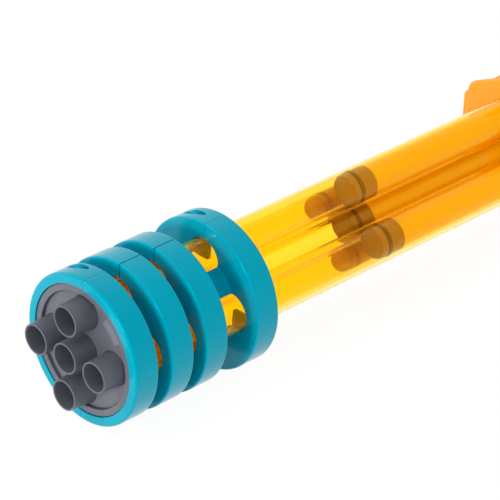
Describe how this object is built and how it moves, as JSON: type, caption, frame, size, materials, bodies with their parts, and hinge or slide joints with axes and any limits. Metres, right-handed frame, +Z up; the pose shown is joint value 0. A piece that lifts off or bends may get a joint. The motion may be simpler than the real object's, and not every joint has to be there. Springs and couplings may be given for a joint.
{
  "type": "water squirter",
  "caption": "Pump action toy water squirter: a bundle of clear barrels in a ringed cage with nozzles, a rear housing with a carry handle, and a sliding plunger handle.",
  "frame": {"origin": "on the ground below the middle of the overall length at rest", "axes": "+X along the barrels from the nozzles to the rear handle, +Z up, +Y to the right hand side of someone aiming it"},
  "size_m": [0.6992, 0.084, 0.1293],
  "materials": {
    "clear_orange": "glossy clear orange plastic",
    "teal_plastic": "satin gloss moulded plastic",
    "orange_plastic": "satin gloss moulded plastic",
    "grey_plastic": "satin moulded plastic",
    "seal_rubber": "matt rubber",
    "screw_steel": "zinc plated steel"
  },
  "bodies": {
    "barrel_body": {"front_plate": "grey_plastic", "nozzle_center": "grey_plastic", "barrel_center": "clear_orange", "nozzle_top": "grey_plastic", "barrel_top": "clear_orange", "nozzle_bottom": "grey_plastic", "barrel_bottom": "clear_orange", "nozzle_left": "grey_plastic", "barrel_left": "clear_orange", "nozzle_right": "grey_plastic", "barrel_right": "clear_orange", "cage_left": "teal_plastic", "cage_right": "teal_plastic", "housing_left": "orange_plastic", "housing_right": "orange_plastic", "barrel_end_plate": "grey_plastic", "cage_screw_front_top": "screw_steel", "cage_screw_back_top": "screw_steel", "cage_screw_front_bottom": "screw_steel", "cage_screw_back_bottom": "screw_steel", "housing_screw_foot_front": "screw_steel", "housing_screw_foot_back": "screw_steel", "housing_screw_leg_front": "screw_steel", "housing_screw_leg_back": "screw_steel"},
    "plunger_body": {"piston_center": "grey_plastic", "piston_seal_center": "seal_rubber", "plunger_center": "clear_orange", "piston_top": "grey_plastic", "piston_seal_top": "seal_rubber", "plunger_top": "clear_orange", "piston_bottom": "grey_plastic", "piston_seal_bottom": "seal_rubber", "plunger_bottom": "clear_orange", "piston_left": "grey_plastic", "piston_seal_left": "seal_rubber", "plunger_left": "clear_orange", "piston_right": "grey_plastic", "piston_seal_right": "seal_rubber", "plunger_right": "clear_orange", "handle_left": "teal_plastic", "handle_right": "teal_plastic", "plunger_carrier": "grey_plastic", "grip_screw_front_top": "screw_steel", "grip_screw_back_top": "screw_steel", "grip_screw_front_bottom": "screw_steel", "grip_screw_back_bottom": "screw_steel"}
  },
  "joints": [
    {"name": "pump_slide", "type": "slide", "parent": "barrel_body", "child": "plunger_body", "axis": [1, 0, 0], "range_m": [-0.16, 0.215]}
  ]
}
